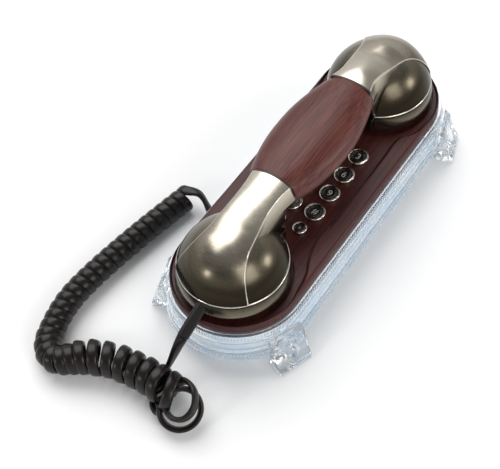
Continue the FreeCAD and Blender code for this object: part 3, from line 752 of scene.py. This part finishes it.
def block(name, low, high, edge, made):
    """Box with rounded edges."""
    mesh = bmesh.new()
    bmesh.ops.create_cube(mesh, size=1)
    for vert in mesh.verts:
        vert.co = Vector([mixed(a, b, c + 0.5) * MM for a, b, c in zip(low, high, vert.co)])
    bmesh.ops.bevel(mesh, geom=mesh.edges[:], offset=edge * MM, segments=3, profile=0.5,
                    affect="EDGES")
    data = bpy.data.meshes.new(name)
    mesh.to_mesh(data)
    mesh.free()
    data.materials.append(made)
    data.polygons.foreach_set("use_smooth", [True] * len(data.polygons))
    obj = bpy.data.objects.new(name, data)
    bpy.context.scene.collection.objects.link(obj)
    return sharpen(obj, 40)


def web(name, end_sign, low_z, high_z):
    """Flat wall under a neck, between the ball and the hand gap."""
    near = end_sign * (BALL_Y - WEB_FACE)
    far = end_sign * (BALL_Y - WEB_BACK)
    return block(name, (-WEB_HALF, min(near, far), low_z), (WEB_HALF, max(near, far), high_z),
                 0.7, NICKEL)


def metal_end(label, end_sign):
    """Shell with its neck and strap, and the band under it with its bead in the bright material, a
    painted highlight along the band's lip.
    """
    centre = (0, end_sign * BALL_Y)
    rim_angle = math.degrees(math.asin((RIM_Z + 0.35 - BALL_Z) / BALL_R))
    dome = [(RIM_IN_R, RIM_Z + 0.15), (RIM_OUT_R, RIM_Z + 0.15)]
    dome += arc((0, BALL_Z), BALL_R, rim_angle, 90, 48)
    points, faces = lathe(dome, centre, 128)
    shell = joined(label + "_shell_metal", [
        sharpen(make_object("dome", points, faces, NICKEL), 45),
        neck_and_strap("strap", end_sign),
        web("web", end_sign, RIM_Z + 0.2, WEB_TOP_Z)])
    place(shell, "handset", "nickel", label + "_shell")
    top_angle = math.degrees(math.asin((RIM_Z - 1.3 - BALL_Z) / BALL_R))
    band = [(BAND_IN_R, BALL_Z - 0.1), (BALL_R - 0.4, BALL_Z - 0.1), (BALL_R - 0.05, BALL_Z + 0.2)]
    band += arc((0, BALL_Z), BALL_R, 1.2, top_angle, 12)
    points, faces = lathe(band, centre, 128)
    bead = [(BAND_IN_R, RIM_Z - 1.2)]
    bead += arc((RIM_OUT_R + 0.05, RIM_Z - 0.55), BEAD_R, -75, 95, 10)
    bead += [(RIM_IN_R, RIM_Z + 0.05)]
    bead_points, bead_faces = lathe(bead, centre, 128)
    ring = joined(label + "_band_metal", [
        sharpen(make_object("band", points, faces, NICKEL), 45),
        # the bead takes the bright material: a painted highlight along the band's lip
        sharpen(make_object("bead", bead_points, bead_faces, BRIGHT_PLATE_AND_HIGHLIGHT), 45),
        web("web_low", end_sign, BALL_Z + 0.05, RIM_Z + 0.05)])
    place(ring, "handset", "nickel", label + "_band")


metal_end("mouth", -1)
metal_end("ear", 1)


# Sections of the wooden grip: place, half width, middle height, half height
GRIP = ((-30.9, 13.1, 59.3, 8.7), (-27.0, 14.6, 59.2, 9.0), (-18.0, 17.0, 58.9, 9.6),
        (-8.0, 18.6, 58.7, 9.9), (3.0, 19.1, 58.6, 10.0), (13.0, 18.6, 58.6, 9.9),
        (22.0, 17.1, 58.7, 9.5), (32.0, 14.6, 58.8, 8.7), (36.9, 13.0, 58.8, 8.2))


def grip_section(y, half_width, middle_z, half_height, count=72):
    """Flattened oval, rounder on top than underneath."""
    row = []
    for k in range(count):
        angle = 2 * math.pi * k / count
        c = math.cos(angle)
        s = math.sin(angle)
        row.append((math.copysign(abs(c) ** 0.92, c) * half_width, y,
                    middle_z + math.copysign(abs(s) ** (1.0 if s > 0 else 0.85), s) * half_height))
    return row


def make_grip():
    """Wooden grip, bevelled at each seam and closed most of the way over its ends."""
    table = smooth_rows(GRIP, 90)
    first = [table[0][0] - GRIP_EDGE] + table[0][1:]
    last = [table[-1][0] + GRIP_EDGE] + table[-1][1:]
    rows = [grip_section(first[0], first[1] - GRIP_END, first[2], first[3] - GRIP_END),
            grip_section(first[0], first[1] - GRIP_EDGE, first[2], first[3] - GRIP_EDGE)]
    rows += [grip_section(*row) for row in table]
    rows += [grip_section(last[0], last[1] - GRIP_EDGE, last[2], last[3] - GRIP_EDGE),
             grip_section(last[0], last[1] - GRIP_END, last[2], last[3] - GRIP_END)]
    points, faces = grid(rows, close_columns=True)
    grip = sharpen(make_object("wooden_grip", points, faces, GRIP_WOOD), 40)
    place(grip, "handset", "grip_wood", "grip_upper", "grip_lower")


def make_seam_ring(label, end_sign, table_row, grip_row):
    """Black gasket between a neck and the grip."""
    neck = neck_rows(end_sign, (table_row, table_row), 1)[0]
    seam_y = neck[0][1]
    middle_z = grip_row[2]
    rows = []
    for shift, grow in ((-0.1, 0.9), (-0.1, 1.005), (0.95, 1.005), (0.95, 0.9)):
        rows.append([(x * grow, seam_y - end_sign * shift, middle_z + (z - middle_z) * grow)
                     for x, _, z in neck])
    points, faces = grid(rows, close_rows=True, close_columns=True)
    ring = sharpen(make_object("seam_" + label, points, faces, DARK), 40)
    place(ring, "handset", "dark_plastic", "seam_ring_" + label)


make_grip()
make_seam_ring("mouth", -1, NECK[0], GRIP[0])
make_seam_ring("ear", 1, EAR_FIRST, GRIP[-1])


BOOT_START = (0.2, -93.0, 36.9)
# Sections of the boot: distance from its start, width and thickness
BOOT = ((-6.0, 5.8, 4.6), (0.0, 5.8, 4.4), (5.0, 5.75, 3.6), (10.0, 5.7, 3.1), (15.0, 5.7, 2.9),
        (15.6, 5.6, 2.8), (15.65, 5.0, 2.2))


def make_boot():
    """Flat tapered strain relief that the cord leaves by."""
    start = Vector(BOOT_START)
    along = (Vector(TAIL[0]) - start).normalized()
    across = -Vector(TAIL_WIDTH)
    across = (across - along * across.dot(along)).normalized()
    through = along.cross(across)
    rows = []
    for at, wide, thick in BOOT:
        row = []
        for k in range(28):
            angle = 2 * math.pi * k / 28
            c = math.cos(angle)
            s = math.sin(angle)
            row.append(start + along * at
                       + across * math.copysign(abs(c) ** 0.7, c) * wide / 2
                       + through * math.copysign(abs(s) ** 0.8, s) * thick / 2)
        rows.append(row)
    points, faces = grid(rows, close_columns=True)
    boot = sharpen(make_object("cord_boot", points, faces, CORD_JACKET), 50)
    return place(boot, "handset", "cord_rubber", "strain_relief")


boot = make_boot()


# ---------------------------------------------------------------- faceplate

# Half width of the sunk field by place along the phone
FIELD_EDGE = ((-63.4, 30.4), (-57.3, 29.3), (-52.2, 28.5), (-47.5, 27.3), (-42.7, 25.0),
              (-37.3, 23.3), (-31.6, 22.1), (-26.5, 21.5), (-22.1, 22.2), (-18.0, 23.0),
              (-6.0, 23.0), (8.0, 23.0), (22.0, 23.0), (34.0, 22.8), (40.0, 22.6), (45.8, 23.4),
              (50.0, 27.0), (54.0, 28.7), (58.0, 29.5), (63.4, 30.4))


def field_half(y):
    """Half width of the sunk field, by a smooth curve through its table."""
    i = max(k for k in range(len(FIELD_EDGE) - 1) if FIELD_EDGE[k][0] <= y + 1e-6)
    p = [FIELD_EDGE[max(min(j, len(FIELD_EDGE) - 1), 0)][1] for j in (i - 1, i, i + 1, i + 2)]
    t = (y - FIELD_EDGE[i][0]) / (FIELD_EDGE[i + 1][0] - FIELD_EDGE[i][0])
    return catmull_rom(*p, t)


def outline_places(side_steps, arc_steps):
    """(base y, outward x, outward y) all the way round, from the mouth end's right corner."""
    out = [(mixed(-ARC_Y, ARC_Y, k / side_steps), 1.0, 0.0) for k in range(side_steps)]
    for k in range(arc_steps):
        angle = math.pi * k / arc_steps
        out.append((ARC_Y, math.cos(angle), math.sin(angle)))
    return out + [(-y, -x, -s) for y, x, s in out]


def field_place(base_y, out_x, out_y):
    """Point of the field's edge that faces a place on the outline."""
    if out_y == 0:
        return (math.copysign(field_half(base_y), out_x), base_y)
    reach = min(FIELD_END_R + 2.6 * abs(out_y), FIELD_TIP_R)
    return (out_x * reach, base_y + out_y * reach)


def make_faceplate():
    """Rounded border, sunk key field with its holes, and two cups."""
    places = outline_places(110, 80)
    rows = []
    for base_y, out_x, out_y in places:
        edge = Vector((out_x * FACE_R, base_y + out_y * FACE_R))
        inner = Vector(field_place(base_y, out_x, out_y))
        span = (edge - inner).length
        inward = (inner - edge).normalized()
        round_in = min(FACE_EDGE_R, 0.55 * span)
        bank = min(FIELD_BANK, 0.5 * span)
        profile = [(1.2, FACE_LOW_Z + 0.1), (0.0, FACE_LOW_Z + 0.1)]
        for k in range(9):
            angle = math.pi / 2 * k / 8
            profile.append((round_in * (1 - math.cos(angle)),
                            FACE_TOP_Z - FACE_EDGE_R * (1 - math.sin(angle))))
        profile += [(round_in + 0.12, FACE_TOP_Z), (span - bank - 0.12, FACE_TOP_Z)]
        for k in range(11):
            t = k / 10
            drop = 0.5 - 0.5 * math.cos(math.pi * t)
            profile.append((span - bank * (1 - t), mixed(FACE_TOP_Z, FIELD_Z, drop)))
        profile.append((span, FIELD_Z - 0.4))
        rows.append([(*(edge + inward * q), z) for q, z in profile])
    points, faces = grid(rows, close_rows=True)
    border = sharpen(make_object("border", points, faces, FACE_WOOD), 50)
    outline = [tuple(Vector(field_place(*p)) + Vector(p[1:]) * 0.5) for p in places]
    holes = [circle(x, y, r + 1.0) for _, x, y, r in key_places()]
    cups = [circle(0, sign * BALL_Y, CUP_R - 0.8, 96) for sign in (-1, 1)]
    field = flat_shape("field", outline, holes + cups, FIELD_Z - 2.2, FIELD_Z, FACE_WOOD)
    floors = []
    for sign in (-1, 1):
        hole = [circle(0, HOOK_Y, HOOK_BORE_R)] if sign > 0 else []
        floors.append(flat_shape("cup", circle(0, sign * BALL_Y, CUP_R - 0.4, 96), hole,
                                 CUP_Z - 1.0, CUP_Z, FACE_WOOD))
    plate = joined("faceplate_wood", [border, field] + floors)
    place(plate, "base", "wood", "faceplate")


def key_places():
    """(body, x, y, key radius) of the twelve dialling keys and three function keys."""
    rows = (("key_1", "key_2", "key_3"), ("key_4", "key_5", "key_6"),
            ("key_7", "key_8", "key_9"), ("key_star", "key_0", "key_hash"))
    for row, names in enumerate(rows):
        for column, name in enumerate(names):
            yield name, (column - 1) * KEY_PITCH_X, KEY_TOP_ROW_Y - row * KEY_PITCH_Y, KEY_R
    for column, name in enumerate(("key_mute", "key_flash", "key_redial")):
        yield name, (column - 1) * SMALL_KEY_X, SMALL_KEY_Y, SMALL_KEY_R


make_faceplate()


# ---------------------------------------------------------------- keys

LEGENDS = {"key_star": "*", "key_hash": "#", "key_mute": "-", "key_flash": "+",
           "key_redial": "o"}


def legend(text, x, y, z, height):
    """Raised character, its centre over the key's."""
    curve = bpy.data.curves.new("legend", "FONT")
    curve.body = text
    curve.size = height * MM
    curve.extrude = 0.05 * MM
    curve.align_x = "CENTER"
    curve.align_y = "CENTER"
    holder = bpy.data.objects.new("legend", curve)
    mesh = bpy.data.meshes.new_from_object(holder)
    xs = [v.co.x for v in mesh.vertices]
    ys = [v.co.y for v in mesh.vertices]
    mesh.transform(Matrix.Translation((x * MM - (min(xs) + max(xs)) / 2,
                                       y * MM - (min(ys) + max(ys)) / 2, z * MM)))
    mesh.materials.clear()
    mesh.materials.append(LEGEND)
    bpy.data.objects.remove(holder)
    obj = bpy.data.objects.new("legend", mesh)
    bpy.context.scene.collection.objects.link(obj)
    return obj


def make_key(body, x, y, radius):
    """Dished key top with a rounded rim and its character."""
    profile = [(radius * 0.6, KEY_FOOT_Z), (radius * 0.6, KEY_CAP_Z),
               (radius - 0.02, KEY_CAP_Z + 0.4), (radius, KEY_TOP_Z - 0.7)]
    profile += arc((radius - KEY_RIM_R, KEY_TOP_Z - KEY_RIM_R), KEY_RIM_R, 10, 130, 8)
    profile += [(radius * share, KEY_TOP_Z - depth) for share, depth in KEY_DISH]
    points, faces = lathe(profile, (x, y), 56)
    top = sharpen(make_object("top", points, faces, KEY_BLACK), 60)
    text = LEGENDS.get(body, body[4:])
    mark = legend(text, x, y, KEY_TOP_Z - 0.5, radius * 1.25 if radius > 3 else radius * 1.1)
    key = joined(body + "_cap", [top, mark])
    place(key, body, "key_plastic", body)


def make_bezels():
    """Bright ring round every key."""
    rings = []
    for _, x, y, radius in key_places():
        bore = radius + KEY_GAP
        outer = bore + BEZEL_WALL
        profile = [(outer + 0.05, FIELD_Z - 1.5), (outer + 0.05, FIELD_Z + 0.5)]
        profile += arc((outer - 0.55, BEZEL_TOP_Z - 0.8), 0.65, 0, 70, 8)
        profile += arc((bore + 0.2, BEZEL_TOP_Z - 0.35), 0.2, 60, 180, 6)
        profile += [(bore, FIELD_Z - 1.5)]
        points, faces = lathe(profile, (x, y), 64)
        rings.append(sharpen(make_object("ring", points, faces, BRIGHT_PLATE_AND_HIGHLIGHT), 50))
    place(joined("key_rings", rings), "base", "bright", "bezel_frame")


for key_place in key_places():
    make_key(*key_place)
make_bezels()


# ---------------------------------------------------------------- clear base

RIB_STEPS = 4           # outline places per rib
RIB_DEPTH = 0.2
# Section of the clear ring, as distance from the end circle's centre, height and how much of a
# rib's depth is taken off: along the floor, up the inside, over the top and down the outside
RING = ((0.0, 11.2, 0), (31.2, 11.2, 0), (31.6, 11.6, 0), (31.6, 27.4, 0), (31.8, 27.6, 0),
        (33.6, 27.6, 0), (34.0, 27.3, 1), (34.0, 23.6, 1), (34.0, 23.3, 0), (34.0, 22.1, 0),
        (34.9, 22.0, 0), (35.1, 21.7, 0), (35.0, 17.4, 0), (34.4, 17.1, 0), (34.4, 16.7, 0),
        (35.0, 16.4, 0), (35.1, 13.0, 0), (35.4, 12.6, 0), (36.0, 12.6, 0), (36.3, 12.3, 1),
        (36.3, 9.1, 1), (36.0, 8.8, 0), (0.0, 8.8, 0))
# Section of a lug in the same terms, without ribs
LUG = ((34.6, 0.0), (43.4, 0.0), (43.4, 2.2), (41.6, 5.4), (39.6, 11.0), (38.2, 17.0),
       (35.6, 20.2), (34.6, 20.2))


def ribbed(k):
    """Share of a rib's depth that is taken off at a place on the outline."""
    return (0.0, 0.5, 1.0, 0.5)[k % RIB_STEPS]


def clear_ring():
    """Hollow stadium tray with stepped walls and fine upright ribs."""
    places = outline_places(316, 276)
    rows = []
    for k, (base_y, out_x, out_y) in enumerate(places):
        groove = RIB_DEPTH * ribbed(k)
        rows.append([(out_x * (r - groove * cut), base_y + out_y * (r - groove * cut), z)
                     for r, z, cut in RING])
    points, faces = grid(rows, close_rows=True)
    return sharpen(make_object("ring", points, faces, CLEAR), 30)


def clear_lug(end_sign, side_sign):
    """Flared foot with an upright screw hole and a wider recess over it."""
    angle = math.radians(LUG_ANGLE)
    out = Vector((side_sign * math.sin(angle), end_sign * math.cos(angle), 0))
    across = Vector((-out.y, out.x, 0))
    centre = Vector((0, end_sign * ARC_Y, 0))
    mesh = bmesh.new()
    sides = []
    for step in (-1, 1):
        sides.append([mesh.verts.new((centre + out * r + across * (step * LUG_HALF)
                                      + Vector((0, 0, z))) * MM) for r, z in LUG])
    mesh.faces.new(sides[0])
    mesh.faces.new(list(reversed(sides[1])))
    for k in range(len(LUG)):
        n = (k + 1) % len(LUG)
        mesh.faces.new((sides[0][n], sides[0][k], sides[1][k], sides[1][n]))
    bmesh.ops.recalc_face_normals(mesh, faces=mesh.faces)
    bmesh.ops.bevel(mesh, geom=mesh.edges[:], offset=LUG_EDGE * MM, segments=2, profile=0.5,
                    affect="EDGES")
    data = bpy.data.meshes.new("lug")
    mesh.to_mesh(data)
    mesh.free()
    data.materials.append(CLEAR)
    obj = bpy.data.objects.new("lug", data)
    bpy.context.scene.collection.objects.link(obj)
    hole = centre + out * LUG_HOLE_AT
    for radius, low in ((LUG_HOLE_R, -2.0), (LUG_SPOT_R, LUG_SPOT_Z)):
        points, faces = lathe(((0, low), (radius, low), (radius, 30), (0, 30)), hole[:2], 40)
        cutter = sharpen(make_object("cutter", points, faces, CLEAR), 40)
        cut = obj.modifiers.new("hole", "BOOLEAN")
        cut.object = cutter
        cut.solver = "EXACT"
        dg = bpy.context.evaluated_depsgraph_get()
        data = bpy.data.meshes.new_from_object(obj.evaluated_get(dg))
        obj.modifiers.clear()
        obj.data = data
        bpy.data.objects.remove(cutter)
    data.polygons.foreach_set("use_smooth", [True] * len(data.polygons))
    return sharpen(obj, 25)


def make_clear_base():
    """Clear tray with its four feet."""
    parts = [clear_ring()]
    for end_sign in (-1, 1):
        for side_sign in (-1, 1):
            parts.append(clear_lug(end_sign, side_sign))
    place(joined("clear_base", parts), "base", "clear", "clear_base_tray")


make_clear_base()


# ---------------------------------------------------------------- plug

def make_plug():
    """Clear modular plug with a latch, four contacts and the cord's flat end inside."""
    low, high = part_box("cord_plug")
    low = low / MM
    high = high / MM
    y = (low.y + high.y) / 2
    z = (low.z + high.z) / 2
    parts = [block("shell", (low.x, low.y, low.z), (high.x, high.y, high.z), 0.4, CLEAR_PLUG),
             block("latch", (low.x + 1.5, y - 1.6, high.z - 0.2), (high.x - 3, y + 1.6, high.z + 0.9),
                   0.25, CLEAR_PLUG),
             block("core", (low.x + 0.6, y - 2.4, z - 1.1), (low.x + 11, y + 2.4, z + 1.1), 0.5,
                   CORD_JACKET)]
    for k in range(4):
        at = y - 1.5 + k * 1.0
        parts.append(block("contact", (high.x - 6, at - 0.15, low.z + 0.5),
                           (high.x - 0.8, at + 0.15, z + 1.0), 0.05, GOLD))
    return place(joined("plug_clear", parts), "base", "clear_plug", "cord_plug")


plug = make_plug()


# ---------------------------------------------------------------- carried-over CAD pieces

CAD_LOOKS = (
    (PAN_WHITE, ("chassis_pan", "hook_bracket", "light_strip_left", "light_strip_right")),
    (DARK, ("ringer", "hook_plunger", "hook_switch", "line_jack", "handset_jack", "mouth_cap",
            "ear_cap", "board_components")),
    (STEEL, ("board_screws", "pan_screws", "ballast_plate", "receiver", "microphone",
             "grip_screws", "handset_weight")),
    (SILICONE, ("key_membrane",)),
    (BOARD, ("key_board", "light_board")))

for look, names in CAD_LOOKS:
    for node in names:
        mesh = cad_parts[node].data
        mesh.materials.clear()
        mesh.materials.append(look)


# ---------------------------------------------------------------- floor and light

FLOOR_HALF = 4000
FLOOR_Z = -0.3            # just under the feet, so that the surfaces do not coincide
WORLD_STRENGTH = 0.7


def make_stage():
    """White floor, and surroundings that are bright low down and greyer overhead."""
    made = material("floor_white", (0.93, 0.93, 0.93), 0.6)[0]
    corners = ((-1, -1), (1, -1), (1, 1), (-1, 1))
    points = [(x * FLOOR_HALF, y * FLOOR_HALF, FLOOR_Z) for x, y in corners]
    floor = make_object("floor", points, [(0, 1, 2, 3)], made)
    world = bpy.data.worlds.new("studio")
    world.use_nodes = True
    nodes = world.node_tree.nodes
    links = world.node_tree.links
    where = nodes.new("ShaderNodeTexCoord")
    split = nodes.new("ShaderNodeSeparateXYZ")
    links.new(where.outputs["Generated"], split.inputs["Vector"])
    tone = ramp(nodes, links, split.outputs["Z"],
                ((0.4, (1.0, 1.0, 1.0)), (0.62, (0.32, 0.32, 0.32)), (1.0, (0.42, 0.42, 0.42))))
    links.new(tone.outputs["Color"], nodes["Background"].inputs["Color"])
    nodes["Background"].inputs["Strength"].default_value = WORLD_STRENGTH
    bpy.context.scene.world = world
    bpy.context.scene.view_settings.view_transform = "Standard"


def area_light(name, place_at, aim, size, power):
    """White soft box pointing at a spot; places and size in metres, power in watts."""
    data = bpy.data.lights.new(name, "AREA")
    data.shape = "RECTANGLE"
    data.size = size[0]
    data.size_y = size[1]
    data.energy = power
    light = bpy.data.objects.new(name, data)
    light.location = place_at
    light.rotation_mode = "QUATERNION"
    light.rotation_quaternion = (Vector(place_at) - Vector(aim)).to_track_quat("Z", "Y")
    bpy.context.scene.collection.objects.link(light)


make_stage()
area_light("overhead", (-0.5, 0.35, 1.0), (0, 0, 0.03), (1.2, 1.0), 12)
area_light("fill", (0.9, -0.3, 0.7), (0, 0, 0.03), (0.6, 0.6), 4)
area_light("near_window", (-0.27, -0.74, 0.42), (0, -0.066, 0.04), (0.13, 0.16), 0.7)
area_light("side_window", (0.63, 0.36, 0.32), (0, -0.066, 0.04), (0.2, 0.16), 0.9)
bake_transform(cord)
